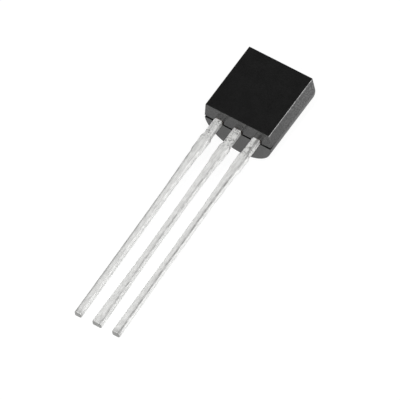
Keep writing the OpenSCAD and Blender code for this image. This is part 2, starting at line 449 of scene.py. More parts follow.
@dataclass(frozen=True)
class MouldingFinish:
    """Black moulding compound: a satin flat face, fine matte sides and a parting groove painted near-black
    as shade.

    The body's mesh says where each is: polish on the flat, rim on the painted highlight along the flat's
    right edge, end on both ends, rear on the painted shade over the ends' part behind the parting plane,
    and line in the parting groove, whose painted shade it carries. The sides are painted lighter along the
    part's Y, as painted light.
    """

    flat_color: float = 0.0075
    side_color: float = 0.032
    end_color: float = 0.02
    # Painted shade: the darker colour of the ends behind the parting plane.
    rear_color: float = 0.006
    # Painted highlight: the pale colour along the flat's right edge.
    rim_highlight_color: float = 0.6
    # Painted shade: the near-black of the parting groove, on top of the groove's real shadow.
    line_color: float = 0.003
    # Painted light: the sides' colour rises from the first to the second tone along the part's Y, over
    # this span in millimetres.
    painted_light_y_mm: Span = (4.9, 9.3)
    painted_light_tone: Span = (0.8, 1.9)
    cloud_tone: Span = (0.85, 1.15)
    flat_roughness: float = 0.3
    side_roughness: float = 0.46
    end_roughness: float = 0.12
    grain_roughness: float = 0.04
    line_roughness: float = 0.3
    grain_mm: float = 0.1
    cloud_mm: float = 0.7
    speck_span: Span = (0.41, 0.59)
    speck: float = 0.95
    flat_speck: float = 0.06
    end_speck: float = 0.5
    rim_highlight_speck: float = 0.2
    grain_height_um: float = 3.2
    flat_relief: float = 0.09
    end_relief: float = 0.2
    ior: float = 1.48

    def material(self, groups: Groups) -> bpy.types.Material:
        """Builds the material.

        Args:
            groups: the shared node groups.

        Returns:
            The material, which reads the masks polish, rim, end, rear and line.
        """
        material, tree, shader = start_material("black_moulding")
        grain, cloud = tree.grain(groups.grain, self.grain_mm, self.cloud_mm)
        names = ("polish", "rim", "end", "rear", "line")
        polish, rim, end, rear, line = (tree.mask(name) for name in names)

        speck = tree.ramp(grain, self.speck_span, (-self.speck, self.speck))
        for mask, share in ((end, self.end_speck), (rim, self.rim_highlight_speck), (polish, self.flat_speck)):
            speck = tree.times(speck, tree.blend(mask, 1.0, share))
        tone = tree.times(tree.plus(speck, 1.0), tree.ramp(cloud, NOISE_SPAN, self.cloud_tone))

        # Painted light: the sides are painted lighter along the part's Y.
        painted_side_light = tree.ramp(tree.along_y(), metres(self.painted_light_y_mm), self.painted_light_tone)
        ground = tree.scaled(grey(self.side_color)[:3], painted_side_light)
        # The painted shade behind the parting plane and the painted highlight on the flat's right edge
        # replace the ground there.
        for mask, shade in ((polish, self.flat_color), (end, self.end_color),
                            (rear, self.rear_color), (rim, self.rim_highlight_color)):
            ground = tree.mix(mask, ground, grey(shade))
        # Painted shade: the parting groove is painted near-black.
        color = tree.mix(line, tree.scaled(ground, tone), grey(self.line_color))

        rough = tree.blend(polish, self.side_roughness, self.flat_roughness)
        rough = tree.plus(rough, tree.blend(end, 0.0, self.end_roughness - self.side_roughness))
        spread = (-self.grain_roughness, self.grain_roughness)
        rough = tree.plus(rough, tree.ramp(grain, NOISE_SPAN, spread))
        rough = tree.plus(rough, tree.times(line, self.line_roughness), clamp=True)

        relief = tree.times(grain, tree.blend(polish, 1.0, self.flat_relief))
        relief = tree.times(relief, tree.blend(end, 1.0, self.end_relief))
        tree.surface(shader, color, rough, relief, self.grain_height_um)
        shader.inputs["IOR"].default_value = self.ior
        return material


@dataclass(frozen=True)
class TinFinish:
    """Matte tin plating on the leads: mottled and marked at the necks, with painted shade near the body
    and painted shade and highlight lines along the front edges.

    A lead's mesh says where the painted lines are: roll on the painted shade lines, which also hold the
    painted shade under the body and a fine dark line on a neck, pale on the painted highlight, cut at the
    sheared tip and bare on the copper inside the body.
    """

    bright: float = 0.94
    dull: float = 0.7
    # The colour of the painted highlight along the left front edge.
    pale: float = 1.0
    # The colour of the painted shade lines along the front edges.
    line: float = 0.3
    mark: float = 0.15
    yellow: float = 0.985
    cut_color: Color = (0.2, 0.2, 0.195, 1.0)
    bare_color: Color = (0.05, 0.024, 0.015, 1.0)
    cut_strength: float = 0.85
    metallic: float = 0.4
    roughness: float = 0.5
    grain_roughness: Span = (-0.06, 0.08)
    line_roughness: float = 0.1
    grain_mm: float = 0.09
    cloud_mm: float = 0.4
    mottle_span: Span = (0.4, 0.6)
    grain_dull: float = 0.12
    cloud_dull: float = 0.3
    streak_mm: float = 0.07
    streak_length_mm: float = 0.55
    streak_span: Span = (0.38, 0.62)
    streak_dull: float = 0.5
    streak_relief: float = 0.6
    line_break_span: Span = (0.35, 0.6)
    line_break: Span = (0.6, 1.0)
    height_um: float = 1.2
    neck_y_mm: Span = (3.2, 3.9)
    neck_span: Span = (0.5, 0.62)
    # Darker grain near the body: partly mottling, partly painted shade.
    neck_mottled_shade: float = 0.5
    mark_mm: float = 0.11
    mark_span: Span = (0.4, 0.48)
    mark_strength: float = 0.9
    mark_cluster_span: Span = (0.42, 0.56)
    mark_cluster: Span = (0.35, 1.0)

    def tint(self, value: float) -> Color:
        """A grey of the plating, a little yellow."""
        return (value, value, value * self.yellow, 1.0)

    def material(self, groups: Groups) -> bpy.types.Material:
        """Builds the material.

        Args:
            groups: the shared node groups.

        Returns:
            The material, which reads the masks roll, pale, cut and bare.
        """
        material, tree, shader = start_material("matte_tin")
        grain, cloud = tree.grain(groups.grain, self.grain_mm, self.cloud_mm)
        spots, _ = tree.grain(groups.grain, self.mark_mm, self.cloud_mm)
        streak = tree.add("Group", {"node_tree": groups.streak}, Width_mm=self.streak_mm,
                          Length_mm=self.streak_length_mm).outputs["Streak"]
        neck = tree.ramp(tree.along_y(), metres(self.neck_y_mm))

        mottle = tree.plus(tree.ramp(grain, self.mottle_span, (0.0, self.grain_dull)),
                           tree.ramp(cloud, self.mottle_span, (0.0, self.cloud_dull)))
        dulled = tree.plus(tree.ramp(streak, self.streak_span, (0.0, self.streak_dull)), mottle)
        # Near the body the grain darkens: partly mottling, partly painted shade under the body.
        mottled_shade = tree.times(tree.ramp(grain, self.neck_span), tree.times(neck, self.neck_mottled_shade))
        ground = tree.mix(tree.plus(dulled, mottled_shade), self.tint(self.bright), self.tint(self.dull))
        # Painted highlight along the left front edge.
        ground = tree.mix(tree.mask("pale"), ground, self.tint(self.pale))
        marks = tree.times(tree.ramp(spots, self.mark_span, (self.mark_strength, 0.0)), neck)
        marks = tree.times(marks, tree.ramp(cloud, self.mark_cluster_span, self.mark_cluster))
        ground = tree.mix(marks, ground, self.tint(self.mark))

        # Painted shade lines along the front edges, broken by the streaks.
        roll = tree.times(tree.mask("roll"), tree.ramp(streak, self.line_break_span, self.line_break))
        color = tree.mix(roll, ground, self.tint(self.line))
        color = tree.mix(tree.times(tree.mask("cut"), self.cut_strength), color, self.cut_color)
        color = tree.mix(tree.mask("bare"), color, self.bare_color)

        low, high = (self.roughness + more for more in self.grain_roughness)
        rough = tree.ramp(grain, NOISE_SPAN, (low, high))
        rough = tree.plus(rough, tree.times(roll, self.line_roughness), clamp=True)
        relief = tree.plus(grain, tree.times(streak, self.streak_relief))
        tree.surface(shader, color, rough, relief, self.height_um)
        shader.inputs["Metallic"].default_value = self.metallic
        return material


@dataclass(frozen=True)
class InnerFinish:
    """A piece inside the moulding: a plain ground with a fine grain in its colour and gloss."""

    name: str
    color: tuple[float, float, float]
    metallic: float
    roughness: float
    grain_mm: float
    height_um: float
    cloud_grains: float = 8.0
    grain_tone: Span = (0.8, 1.1)
    cloud_tone: Span = (0.9, 1.05)
    gloss_share: Span = (0.8, 1.2)

    def material(self, groups: Groups) -> bpy.types.Material:
        """Builds the material.

        Args:
            groups: the shared node groups.

        Returns:
            The material.
        """
        material, tree, shader = start_material(self.name)
        grain, cloud = tree.grain(groups.grain, self.grain_mm, self.grain_mm * self.cloud_grains)
        tone = tree.times(tree.ramp(grain, NOISE_SPAN, self.grain_tone),
                          tree.ramp(cloud, NOISE_SPAN, self.cloud_tone))
        low, high = (self.roughness * share for share in self.gloss_share)
        rough = tree.ramp(grain, NOISE_SPAN, (low, high))
        tree.surface(shader, tree.scaled(self.color, tone), rough, grain, self.height_um)
        shader.inputs["Metallic"].default_value = self.metallic
        return material


SILICON = InnerFinish(
    "polished_silicon", (0.12, 0.13, 0.17), metallic=0.4, roughness=0.2, grain_mm=0.02, height_um=0.2
)
SILVER_GLUE = InnerFinish(
    "silver_glue", (0.5, 0.5, 0.48), metallic=0.5, roughness=0.5, grain_mm=0.015, height_um=1.0
)
GOLD = InnerFinish(
    "drawn_gold", (0.9, 0.62, 0.22), metallic=1.0, roughness=0.22, grain_mm=0.01, height_um=0.1
)


# ---------------------------------------------------------------- the body


@dataclass
class LeadSizes:
    """Sizes of the stamped leads, in millimetres and degrees."""

    pitch: float = 1.27
    thickness: float = 0.41
    seat: float = 0.08
    length: float = 14.7
    neck_w: float = 0.47
    neck_len: float = 1.17
    shoulder_w: float = 0.63
    shoulder_len: float = 1.0
    step_len: float = 0.15
    taper_w: float = 0.54
    taper_len: float = 2.8
    bar_w: float = 0.43
    flare_len: float = 5.0
    tip_w: tuple[float, float, float] = (0.46, 0.62, 0.52)
    bend_deg: float = 3.46
    bend_r: float = 16.0
    ear_z: float = 0.45
    ear_w: float = 0.7
    ear_h: float = 0.25
    paddle_z: float = 1.35
    paddle_w: float = 1.7
    paddle_h: float = 2.0
    paddle_chamfer: float = 0.25
    gap: float = 0.18
    post_z: float = 1.1
    post_h: float = 1.5
    post_reach: float = 0.18

    @property
    def post_inner(self) -> float:
        """The side of a bonding post that looks to the paddle."""
        return self.paddle_w / 2 + self.gap

    @property
    def post_outer(self) -> float:
        """The side of a bonding post that looks outwards."""
        return self.pitch + self.neck_w / 2 + self.post_reach

    @property
    def bend_start(self) -> float:
        """The distance from the body at which a lead starts to bend."""
        return self.neck_len + self.shoulder_len + 2 * self.step_len


@dataclass
class MouldedBody:
    """The one-piece moulding, with its drafts, rounded edges and parting line.

    Lengths are in millimetres. The groove is the parting line on the lower end, and the upper
    groove the fainter one on the upper end. Steps and rows count vertices.
    """

    leads: LeadSizes
    width: float = 4.44
    height: float = 4.7
    front_depth: float = 1.18
    side_draft_deg: float = 4.4
    end_draft_deg: float = 3.0
    flat_edge_r: float = 0.04
    end_edge_r: float = 0.012
    groove_w: float = 0.15
    groove_wall: float = 0.02
    groove_depth: float = 0.14
    side_groove: float = 1.15  # how much wider the groove is beyond the leads
    side_groove_x: float = 1.7
    side_groove_ramp: float = 0.15
    lead_groove: float = 2.0  # how much narrower it is in front of a lead
    lead_gap: float = 0.04
    upper_groove_w: float = 0.04
    upper_groove_depth: float = 0.02
    flash_w: float = 0.02
    flash_h: float = 0.006
    flash_dark: float = 0.3
    # The width of the painted highlight along the flat's right edge.
    rim_highlight_w: float = 0.015
    polish_slant: float = 0.12  # how far towards the front a normal points where the polish starts
    polish_ramp: float = 0.2
    straight_x: float = 1.6  # within this half width the columns of an end's front part run straight
    fine: float = 0.008
    fine_steps: int = 14
    coarse: float = 0.06
    corner_steps: int = 9
    back_steps: int = 46
    edge_steps: int = 6
    wall_rows: int = 25

    @property
    def back_r(self) -> float:
        """The radius of the round back."""
        return self.width / 2

    @property
    def lead_front(self) -> float:
        """The depth of the leads' front faces."""
        return self.front_depth + self.leads.seat - self.leads.thickness

    @property
    def lead_right(self) -> float:
        """How far right of a lead's middle the parting line steps: a gap beyond its side."""
        return self.leads.neck_w / 2 + self.lead_gap

    @property
    def lead_left(self) -> float:
        """How far right of a lead's middle the line's other step is: hidden behind the lead."""
        return (self.groove_w + self.groove_wall - self.leads.neck_w) / 2

    def stops(self, start: float, end: float, marks: list[float]) -> np.ndarray:
        """Places along a line, in coarse steps, and in fine ones round each mark.

        Args:
            start: the first place.
            end: the last place.
            marks: where the steps are fine.

        Returns:
            The places in rising order.
        """
        even = np.linspace(start, end, round((end - start) / self.coarse) + 1)
        steps = self.fine * np.arange(-self.fine_steps, self.fine_steps + 1)
        near = (np.array(marks)[:, None] + steps).ravel()
        clear = np.abs(even[:, None] - near).min(axis=1) > self.fine
        inside = near[(near > start) & (near < end)]
        return np.unique(np.concatenate([[start, end], even[clear], inside]).round(6))

    def columns(self) -> np.ndarray:
        """Places across the ends at the parting plane, fine at the right side of each lead."""
        sides = [side.value * self.leads.pitch + self.lead_right for side in LeadSide]
        return self.stops(-self.back_r, self.back_r, sides)

    def across(self, side_x: np.ndarray, behind: np.ndarray) -> np.ndarray:
        """Rows of places across the body, whose ends are at the side.

        In front of the parting plane the places between the leads stay straight and only the
        outer ones follow the side. Behind it all of them draw in to the middle.

        Args:
            side_x: the half width at each row.
            behind: whether each row is behind the parting plane.

        Returns:
            Places of shape (rows, columns).
        """
        middle = self.columns()
        outer = rising(np.abs(middle), self.straight_x, self.back_r - self.straight_x) * np.sign(middle)
        ahead = middle + (side_x[:, None] - self.back_r) * outer
        return np.where(behind[:, None], middle * side_x[:, None] / self.back_r, ahead)

    def side_line(self) -> tuple[np.ndarray, np.ndarray]:
        """The right-hand side of the plan, from the end of the flat to the middle of the back.

        A corner arc, then a straight line out to the parting plane, then a quarter circle. The
        steps are fine at the front of the leads and at the parting plane.

        Returns:
            Points of shape (n, 2) and the outward normals there.
        """
        draft = math.radians(self.side_draft_deg)
        corner_x = self.width / 2 - self.front_depth * math.tan(draft)
        corner_x += self.flat_edge_r * (math.tan(draft) - 1 / math.cos(draft))
        turn = np.linspace(-np.pi / 2, -draft, self.corner_steps)
        corner_n = np.stack([np.cos(turn), np.sin(turn)], axis=-1)
        corner = np.array([corner_x, self.flat_edge_r]) + self.flat_edge_r * corner_n
        start, end = corner[-1], np.array([self.width / 2, self.front_depth])
        depths = self.stops(start[1], end[1], [self.lead_front, self.front_depth])[1:]
        side = start + (end - start) * ((depths - start[1]) / (end[1] - start[1]))[:, None]
        side_n = np.broadcast_to(corner_n[-1], side.shape)
        near = self.fine * np.arange(1, self.fine_steps + 1) / self.back_r
        sweep = np.concatenate([near, np.linspace(near[-1], np.pi / 2, self.back_steps)[1:]])
        back_n = np.stack([np.cos(sweep), np.sin(sweep)], axis=-1)
        back = np.array([0, self.front_depth]) + self.back_r * back_n
        return np.concatenate([corner, side, back]), np.concatenate([corner_n, side_n, back_n])

    def end_rise(self, y: np.ndarray) -> np.ndarray:
        """How far an end has fallen away from the parting plane's height, at a depth."""
        return np.abs(y - self.front_depth) * math.tan(math.radians(self.end_draft_deg))

    def parting_distance(self, x: np.ndarray, y: np.ndarray) -> np.ndarray:
        """Distance on the lower end to the line where the mould halves met.

        The line runs along the parting plane and steps round the front of each lead: it is the
        edge of everything behind that plane and of the three leads' sections together. The
        distance counts less beyond the leads, where the line is wider, and more in front of a
        lead, where it is thinner.

        Args:
            x: places across the body.
            y: depths, of the same shape.

        Returns:
            The distances, of the same shape.
        """
        beyond = rising(np.abs(x), self.side_groove_x, self.side_groove_ramp)
        halves = (self.front_depth - y) / (1 + (self.side_groove - 1) * beyond)
        reach_y = (self.lead_front - y) * self.lead_groove
        for side in LeadSide:
            reach_x = x - side.value * self.leads.pitch
            reach_x = np.maximum(reach_x - self.lead_right, self.lead_left - reach_x)
            outside = np.hypot(np.maximum(reach_x, 0), np.maximum(reach_y, 0))
            section = outside + np.minimum(np.maximum(reach_x, reach_y), 0)
            halves = np.minimum(halves, section)
        return np.abs(halves)

    def trench(self, distance: np.ndarray, width: float) -> np.ndarray:
        """A groove's form across it: a flat bottom and steep walls, smoothed at both ends.

        Args:
            distance: distances from the groove's middle.
            width: its width half way up the walls.

        Returns:
            1 along the bottom and 0 outside the groove.
        """
        share = np.clip((width / 2 + self.groove_wall / 2 - np.abs(distance)) / self.groove_wall, 0, 1)
        return share * share * (3 - 2 * share)

    def end_patch(self, top: bool) -> tuple[np.ndarray, np.ndarray]:
        """One end of the body: rows across it from the flat to the middle of the back.

        Args:
            top: whether it is the upper end.

        Returns:
            The patch of shape (rows, columns, 3), and the groove's share there, which carries the groove's
            painted shade.
        """
        points, normals = self.side_line()
        side = points - self.end_edge_r * normals
        side[-1, 0] = 0.0
        x = self.across(side[:, 0], points[:, 1] > self.front_depth)
        y = np.broadcast_to(side[:, 1:], x.shape)
        if top:
            cut = self.trench(y - self.front_depth, self.upper_groove_w)
            z = self.height - self.end_rise(y) - self.upper_groove_depth * cut
        else:
            cut = self.trench(self.parting_distance(x, y), self.groove_w)
            z = self.end_rise(y) + self.groove_depth * cut
        return np.stack([x, y, z], axis=-1), cut

    def outline(self) -> tuple[np.ndarray, np.ndarray]:
        """The plan's whole outline: across the flat, round the right side and back along the left.

        Returns:
            Points of shape (n, 2) and the outward normals there.
        """
        points, normals = self.side_line()
        front_x = self.across(points[:1, 0], np.array([False]))[0]
        front = np.stack([front_x, np.zeros_like(front_x)], axis=-1)
        front_n = np.broadcast_to([0.0, -1.0], front.shape)
        left, left_n = points[::-1] * [-1, 1], normals[::-1] * [-1, 1]
        loop = np.concatenate([front, points[1:], left[1:-1]])
        return loop, np.concatenate([front_n, normals[1:], left_n[1:-1]])

    def wall_patch(self) -> tuple[np.ndarray, dict[str, np.ndarray]]:
        """The wall round the body, from the lower end's rounded edge to the upper end's.

        Each row is the plan's outline, moved in along the two edges' quarter circles. At the
        parting plane the wall stands proud by the thickness of the flash.

        Returns:
            The patch, and the masks of the flat face, of the painted highlight along its right edge and of
            the parting line, which is the lower groove's painted shade and a fainter dark line along the
            flash.
        """
        loop, loop_n = self.outline()
        angle = np.linspace(0, np.pi / 2, self.edge_steps)
        straight = np.linspace(0, 1, self.wall_rows)[1:-1]
        drawn_in, risen = 1 - np.sin(angle), 1 - np.cos(angle)
        edge_in = np.concatenate([drawn_in, np.zeros(len(straight)), drawn_in[::-1]])[:, None]
        edge_up = np.concatenate([risen, np.ones(len(straight)), risen[::-1]])[:, None]
        share = np.concatenate([np.zeros(len(angle)), straight, np.ones(len(angle))])[:, None]

        on_side = np.abs(loop_n[:, 0]) > 0.5
        flash = bell(loop[:, 1] - self.front_depth, self.flash_w) * on_side
        shift = self.flash_h * flash * (edge_in == 0) - self.end_edge_r * edge_in
        plan = loop[None] + shift[..., None] * loop_n[None]
        from_parting = plan[..., 1] - self.front_depth
        lower_cut = self.trench(from_parting / self.side_groove, self.groove_w)
        upper_cut = self.trench(from_parting, self.upper_groove_w)
        fall = self.end_rise(plan[..., 1]) + self.end_edge_r * edge_up
        low = fall + self.groove_depth * lower_cut
        high = self.height - fall - self.upper_groove_depth * upper_cut
        z = low + (high - low) * share

        in_lower_edge = (share == 0) & (edge_up < 1)
        # Painted highlight: a pale band along the flat's right edge, where the rounded edge would catch
        # the light.
        rim = bell(loop[:, 1] - self.flat_edge_r, self.rim_highlight_w) * (loop_n[:, 0] > 0)
        masks = {
            "polish": rising(-loop_n[:, 1], self.polish_slant, self.polish_ramp),
            "rim": rim,
            # Painted shade: the lower groove is painted near-black; along the flash lies a fainter dark
            # line.
            "line": np.where(in_lower_edge, lower_cut, self.flash_dark * flash),
        }
        return np.concatenate([plan, z[..., None]], axis=-1), masks

    def build(self, place: RestFrame, finish: bpy.types.Material) -> bpy.types.Object:
        """Makes the body, in place of its plain solid.

        Args:
            place: where the moulding's axes lie.
            finish: the moulding's material.

        Returns:
            The body's object.
        """
        skin = Skin(("polish", "line", "rim", "end", "rear"))
        for top in (False, True):
            patch, line = self.end_patch(top)
            # The ends' part behind the parting plane takes painted shade.
            behind = (patch[..., 1] > self.front_depth).astype(float)
            skin.add(patch, turned=not top, line=line, end=1.0, rear=behind)
        wall, masks = self.wall_patch()
        skin.add(wall, ring=True, **masks)
        piece = skin.to_object("moulded_body", place)
        dress(piece, finish, "moulding", "mould_body")
        return piece


# ---------------------------------------------------------------- the leads


NO_LINE: Profile = ((0.0,), (0.0,))


@dataclass(frozen=True)
class EdgeLook:
    """How strong the painted shade and highlight along a lead's front edges are.

    right, left and pale are profiles down the lead of the painted shade line at the right edge, of the
    painted shade line at the left edge and of the painted highlight there. neck is a fine dark line on the
    neck's front, top the shade under the body, and tip how dull the last stretch is.
    """

    right: Profile
    left: Profile
    pale: Profile
    neck: float
    top: float
    tip: float


# Painted shade and highlight along each lead's front edges.
EDGE_LOOKS = {
    LeadSide.LEFT: EdgeLook(
        right=((1.6, 2.2), (0.0, 0.3)),
        left=((1.6, 2.2), (0.0, 0.7)),
        pale=NO_LINE,
        neck=0.45, top=0.4, tip=0.4,
    ),
    LeadSide.MIDDLE: EdgeLook(
        right=((1.9, 2.8), (0.0, 0.85)),
        left=NO_LINE,
        pale=((1.9, 2.8), (0.0, 1.0)),
        neck=0.0, top=0.6, tip=0.15,
    ),
    LeadSide.RIGHT: EdgeLook(
        right=((-0.1, 0.05, 1.1, 1.5, 2.2, 3.2), (0.0, 2.0, 2.0, 0.6, 0.6, 1.1)),
        left=NO_LINE,
        pale=((1.2, 1.8), (0.0, 1.0)),
        neck=0.0, top=0.6, tip=0.45,
    ),
}


@dataclass
class Lead:
    """One stamped lead: tinned outside the body, with its post or paddle inside it.

    Lengths are in millimetres. A way is a distance along the surface from the start of the
    front corner's arc, and grows round the arc.
    """

    side: LeadSide
    sizes: LeadSizes
    sheet_y: float
    edge_r: float = 0.12
    inner_edge_r: float = 0.03
    neck_edge_r: float = 0.04
    edge_ramp: float = 0.5  # how long below the neck the corners take to widen
    face_ramp: float = 0.05  # how far each way from the body's face they change
    tip_r: float = 0.1
    tip_steps: int = 6
    cap_shares: tuple[float, ...] = (1.0, 0.75, 0.35)  # sizes of the rings of an end's flat cap
    arc_steps: int = 8
    flat_steps: int = 5
    step: float = 0.04
    smooth_steps: int = 2
    wave: float = 0.004
    wave_paces: tuple[float, ...] = (1.1, 2.3, 4.1, 7.3)  # radians a millimetre
    wave_lobes: tuple[int, ...] = (1, 2, 1, 3)  # turns round the section
    wave_ramp: float = 0.3
    seed: int = 7
    # Where and how wide the painted shade line at the right edge is; the left edge's lines take the same
    # width.
    line_way: float = 0.03
    line_w: float = 0.055
    neck_line: Profile = ((0.0, 0.15, 1.0, 1.3), (0.0, 1.0, 1.0, 0.0))
    neck_line_way: float = -0.11
    neck_line_w: float = 0.045
    shade_s: float = 0.12  # where down the lead the shade under the body is darkest
    shade_len: float = 0.2
    shade_way: float = -0.04
    shade_w: float = 0.09
    dull_tip_len: float = 0.45
    dull_tip_ramp: float = 0.315
    cut_len: float = 0.09
    cut_ramp: float = 0.05

    @property
    def name(self) -> str:
        """The name of the lead's node."""
        return "lead_" + self.side.name.lower()

    @property
    def top(self) -> float:
        """The height of the lead's upper end in the body."""
        k = self.sizes
        return k.paddle_z + k.paddle_h if self.side is LeadSide.MIDDLE else k.post_z + k.post_h

    def rows(self) -> tuple[np.ndarray, np.ndarray]:
        """Places down the lead, in even steps, and along a quarter circle at the tip.

        Returns:
            The distances from the body, negative inside it, and how far the surface is drawn in
            at each.
        """
        turn = np.linspace(0, np.pi / 2, self.tip_steps)
        length = self.sizes.length
        even = np.arange(-self.top, length - self.tip_r - self.step / 2, self.step)
        s = np.concatenate([even, length - self.tip_r * (1 - np.sin(turn))])
        return s, np.concatenate([np.zeros(len(even)), self.tip_r * (1 - np.cos(turn))])

    def edges(self, s: np.ndarray) -> tuple[np.ndarray, np.ndarray]:
        """The lead's left and right edges, as distances from its middle line.

        Args:
            s: distances down the lead from the body, negative inside it.

        Returns:
            Both edges at each distance, positive outwards. Corners are rounded by a window.
        """
        k = self.sizes
        shoulder = k.neck_len + k.step_len
        shoulder_end = shoulder + k.shoulder_len
        taper = shoulder_end + k.step_len
        flare = k.length - k.flare_len
        tip_w = k.tip_w[self.side.value + 1]
        knots = [k.neck_len, shoulder, shoulder_end, taper, taper + k.taper_len, flare, k.length]
        widths = [k.neck_w, k.shoulder_w, k.shoulder_w, k.taper_w, k.bar_w, k.bar_w, tip_w]
        half = smoothed(np.interp(s, knots, widths) / 2, self.smooth_steps)
        in_ear = (-s > k.ear_z) & (-s < k.ear_z + k.ear_h)
        half = np.where(in_ear, k.ear_w / 2, half)
        if self.side is LeadSide.MIDDLE:
            in_head = -s > k.paddle_z
            chamfer = np.clip(k.paddle_chamfer - (self.top + s), 0, None)
            left = right = np.where(in_head, k.paddle_w / 2 - chamfer, half)
            return left, right
        in_head = -s > k.post_z
        inner = np.where(in_head, k.pitch - k.post_inner, half)
        outer = np.where(in_head, k.post_outer - k.pitch, half)
        return (outer, inner) if self.side is LeadSide.LEFT else (inner, outer)

    def path(self, s: np.ndarray) -> tuple[np.ndarray, np.ndarray]:
        """The lead's middle line: straight, then an arc towards the round back, then straight.

        Args:
            s: distances down the lead from the body.

        Returns:
            Points of shape (n, 2) as depth and height, and the normals towards the back.
        """
        k = self.sizes
        bend = math.radians(k.bend_deg)
        bend_len = k.bend_r * bend
        a = bend * np.clip((s - k.bend_start) / bend_len, 0, 1)
        rest = np.clip(s - k.bend_start - bend_len, 0, None)
        y = self.sheet_y + k.bend_r * (1 - np.cos(a)) + rest * np.sin(a)
        z = -np.minimum(s, k.bend_start) - k.bend_r * np.sin(a) - rest * np.cos(a)
        return np.stack([y, z], axis=-1), np.stack([np.cos(a), np.sin(a)], axis=-1)

    def section(self) -> tuple[np.ndarray, np.ndarray, np.ndarray]:
        """The unit outline of the bar: four corner arcs joined by flats, from the front's middle.

        Returns:
            For each point the share of the half width and half thickness at which its corner's
            centre lies, of shape (n, 2), the direction out of that centre, of shape (n, 2), and
            the angle of that direction from the front face's normal, towards the right.
        """
        arc = np.linspace(0, np.pi / 2, self.arc_steps)
        flat = np.linspace(0, 1, self.flat_steps)[1:-1]
        corners = np.array([[1, -1], [1, 1], [-1, 1], [-1, -1]], float)
        angles, centres = [], []
        for k, (here, then) in enumerate(zip(corners, np.roll(corners, -1, axis=0))):
            start = k * np.pi / 2
            angles += [start + arc, np.full(len(flat), start + np.pi / 2)]
            centres += [np.broadcast_to(here, (len(arc), 2)), here + (then - here) * flat[:, None]]
        turn = np.concatenate(angles)
        out = np.stack([np.sin(turn), -np.cos(turn)], axis=-1)
        return np.concatenate(centres), out, turn

    def waves(self, s: np.ndarray, turn: np.ndarray) -> np.ndarray:
        """Slow waves of the dipped tin: the mean of sines that run down the lead and round it.

        Args:
            s: distances down the lead from the body.
            turn: the angles round the section.

        Returns:
            Heights of shape (rows, points), 0 inside the body.
        """
        rng = np.random.default_rng(self.seed + self.side.value)
        phase = rng.uniform(0, 2 * np.pi, (len(self.wave_paces), 1, 1))
        pace, lobe = (np.array(row).reshape(-1, 1, 1) for row in (self.wave_paces, self.wave_lobes))
        sines = np.sin(pace * s[None, :, None] + lobe * turn[None, None, :] + phase)
        return sines.mean(axis=0) * self.wave * rising(s, 0.0, self.wave_ramp)[:, None]

    def build(self, place: RestFrame, finish: bpy.types.Material) -> bpy.types.Object:
        """Makes the lead, in place of its plain solid.

        The section is carried along the path. Its corners are wide on the bar, sharper on the
        neck and sharpest inside the body. The tip is rounded, and flat caps close both ends.

        Args:
            place: where the moulding's axes lie.
            finish: the plating's material.

        Returns:
            The lead's object.
        """
        k = self.sizes
        s, drawn_in = self.rows()
        left, right = self.edges(s)
        knots = [-self.face_ramp, self.face_ramp, k.neck_len, k.neck_len + self.edge_ramp]
        radii = [self.inner_edge_r, self.neck_edge_r, self.neck_edge_r, self.edge_r]
        radius = np.interp(s, knots, radii)[:, None]
        centres, out, turn = self.section()
        reach = radius + (self.waves(s, turn) - drawn_in[:, None])
        half = np.where(centres[:, 0] > 0, right[:, None], left[:, None])
        x = centres[:, 0] * (half - radius) + out[:, 0] * reach
        w = centres[:, 1] * (k.thickness / 2 - radius) + out[:, 1] * reach
        point, normal = self.path(s)
        y = point[:, :1] + w * normal[:, :1]
        z = point[:, 1:] + w * normal[:, 1:]
        surface = np.stack([x + self.side.value * k.pitch, y, z], axis=-1)

        roll, pale = self.edge_masks(s, half, radius)
        skin = Skin(("roll", "pale", "cut", "bare"))
        inside = (s < 0.0)[:, None].astype(float)
        skin.add(surface, ring=True, turned=True, roll=roll, pale=pale, cut=self.cut_mask(s), bare=inside)
        for rim, at_tip in ((surface[0], False), (surface[-1], True)):
            middle = rim.mean(axis=0)
            cap = middle + (rim[None] - middle) * np.array(self.cap_shares)[:, None, None]
            cap = np.concatenate([cap, np.broadcast_to(middle, (1, *cap.shape[1:]))])
            skin.add(cap, ring=True, turned=at_tip, cut=float(at_tip), bare=float(not at_tip))
        piece = skin.to_object(f"tinned_{self.name}", place)
        dress(piece, finish, "tinned_lead", self.name)
        return piece

    def cut_mask(self, s: np.ndarray) -> np.ndarray:
        """How bare the plating is towards the tip: a little over its last stretch, then all of it.

        Args:
            s: distances down the lead from the body.

        Returns:
            The mask, of shape (rows, 1).
        """
        dulled = rising(s, self.sizes.length - self.dull_tip_len, self.dull_tip_ramp)
        cut = rising(s, self.sizes.length - self.cut_len, self.cut_ramp)
        return np.maximum(EDGE_LOOKS[self.side].tip * dulled, cut)[:, None]

    def edge_masks(self, s: np.ndarray, half: np.ndarray,
                   radius: np.ndarray) -> tuple[np.ndarray, np.ndarray]:
        """Where shade and highlight are painted along the front corners.

        Each line is a bell across the way along the surface, times a profile down the lead.

        Args:
            s: distances down the lead from the body.
            half: the half width on the point's side, of shape (rows, points).
            radius: the corners' radius, of shape (rows, 1).

        Returns:
            The painted shade mask and the painted highlight mask, of shape (rows, points).
        """
        look = EDGE_LOOKS[self.side]
        centres, _, turn = self.section()
        on_front = np.isclose(np.cos(turn), 1)
        arc = np.where(centres[:, 0] > 0, turn, 2 * np.pi - turn)
        flat = -(1 - np.abs(centres[:, 0])) * (half - radius)
        down_side = (centres[:, 1] + 1) * (self.sizes.thickness / 2 - radius)
        way = np.where(on_front, flat, arc * radius + down_side)
        line = self.line_way - (self.edge_r - radius)
        front = (centres[:, 1] < 0) | on_front
        at_right, at_left = (centres[:, 0] >= 0) & front, (centres[:, 0] < 0) & front

